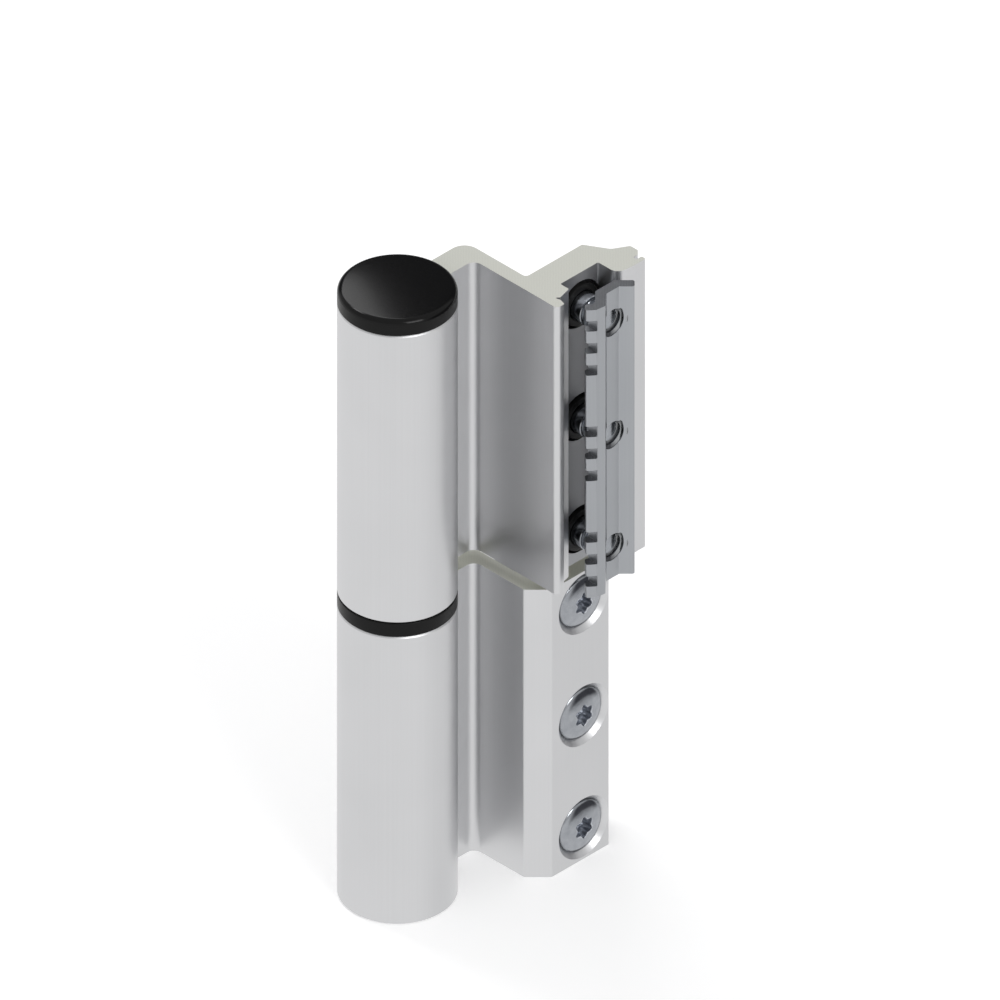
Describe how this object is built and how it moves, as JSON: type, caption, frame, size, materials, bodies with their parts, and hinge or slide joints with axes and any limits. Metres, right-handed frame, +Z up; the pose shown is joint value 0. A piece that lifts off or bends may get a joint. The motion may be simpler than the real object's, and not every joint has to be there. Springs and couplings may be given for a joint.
{
  "type": "clamp hinge",
  "caption": "Barrel hinge with two offset leaves, each with screws that draw a bent clamp plate onto the groove of an aluminium door profile.",
  "frame": {"origin": "on the barrel's axis at the barrel's foot", "axes": "+Z up the barrel towards the cap, +X towards the side on which the upper leaf clamps, +Y from the barrel towards the leaf walls"},
  "size_m": [0.0387, 0.0543, 0.1346],
  "materials": {
    "leaf_aluminium": "satin anodised",
    "plate_aluminium": "satin anodised, a shade darker",
    "zinc_screw": "bright zinc plated",
    "black_plastic": "satin black",
    "pin_steel": "ground"
  },
  "bodies": {
    "lower_leaf": {"lower_leaf": "leaf_aluminium", "hinge_pin": "pin_steel", "lower_bush": "black_plastic", "spacer_ring": "black_plastic", "bottom_plug": "black_plastic", "lower_retainer_top": "black_plastic", "lower_retainer_middle": "black_plastic", "lower_retainer_bottom": "black_plastic"},
    "upper_leaf": {"upper_leaf": "leaf_aluminium", "upper_bush": "black_plastic", "top_cap": "black_plastic", "upper_retainer_top": "black_plastic", "upper_retainer_middle": "black_plastic", "upper_retainer_bottom": "black_plastic"},
    "upper_plate": {"upper_clamp_plate": "plate_aluminium"},
    "lower_plate": {"lower_clamp_plate": "plate_aluminium"},
    "upper_screw_middle": {"upper_screw_middle": "zinc_screw"},
    "upper_screw_top": {"upper_screw_top": "zinc_screw"},
    "upper_screw_bottom": {"upper_screw_bottom": "zinc_screw"},
    "lower_screw_middle": {"lower_screw_middle": "zinc_screw"},
    "lower_screw_top": {"lower_screw_top": "zinc_screw"},
    "lower_screw_bottom": {"lower_screw_bottom": "zinc_screw"}
  },
  "joints": [
    {"name": "barrel_swing", "type": "hinge", "parent": "lower_leaf", "child": "upper_leaf", "pos_m": [0, 0, 0.067], "axis": [0, 0, -1], "range_deg": [0, 180]},
    {"name": "upper_screw_middle_turn", "type": "hinge", "parent": "upper_leaf", "child": "upper_screw_middle", "pos_m": [0.011, 0.03, 0.099], "axis": [1, 0, 0], "range_deg": [0, 1080]},
    {"name": "upper_screw_top_turn", "type": "hinge", "parent": "upper_leaf", "child": "upper_screw_top", "pos_m": [0.011, 0.03, 0.124], "axis": [1, 0, 0], "range_deg": [0, 1080]},
    {"name": "upper_screw_bottom_turn", "type": "hinge", "parent": "upper_leaf", "child": "upper_screw_bottom", "pos_m": [0.011, 0.03, 0.074], "axis": [1, 0, 0], "range_deg": [0, 1080]},
    {"name": "upper_plate_slide", "type": "slide", "parent": "upper_leaf", "child": "upper_plate", "axis": [-1, 0, 0], "range_m": [0, 0.003]},
    {"name": "lower_screw_middle_turn", "type": "hinge", "parent": "lower_leaf", "child": "lower_screw_middle", "pos_m": [0.017, 0.0309, 0.032], "axis": [-1, 0, 0], "range_deg": [0, 1080]},
    {"name": "lower_screw_top_turn", "type": "hinge", "parent": "lower_leaf", "child": "lower_screw_top", "pos_m": [0.017, 0.0309, 0.057], "axis": [-1, 0, 0], "range_deg": [0, 1080]},
    {"name": "lower_screw_bottom_turn", "type": "hinge", "parent": "lower_leaf", "child": "lower_screw_bottom", "pos_m": [0.017, 0.0309, 0.007], "axis": [-1, 0, 0], "range_deg": [0, 1080]},
    {"name": "lower_plate_slide", "type": "slide", "parent": "lower_leaf", "child": "lower_plate", "axis": [1, 0, 0], "range_m": [0, 0.003]}
  ],
  "couplings": [
    {"joint": "upper_screw_top_turn", "follows": "upper_screw_middle_turn", "ratio": 1},
    {"joint": "upper_screw_bottom_turn", "follows": "upper_screw_middle_turn", "ratio": 1},
    {"joint": "upper_plate_slide", "follows": "upper_screw_middle_turn", "m_per_rad": 0.00015915},
    {"joint": "lower_screw_top_turn", "follows": "lower_screw_middle_turn", "ratio": 1},
    {"joint": "lower_screw_bottom_turn", "follows": "lower_screw_middle_turn", "ratio": 1},
    {"joint": "lower_plate_slide", "follows": "lower_screw_middle_turn", "m_per_rad": 0.00015915}
  ]
}
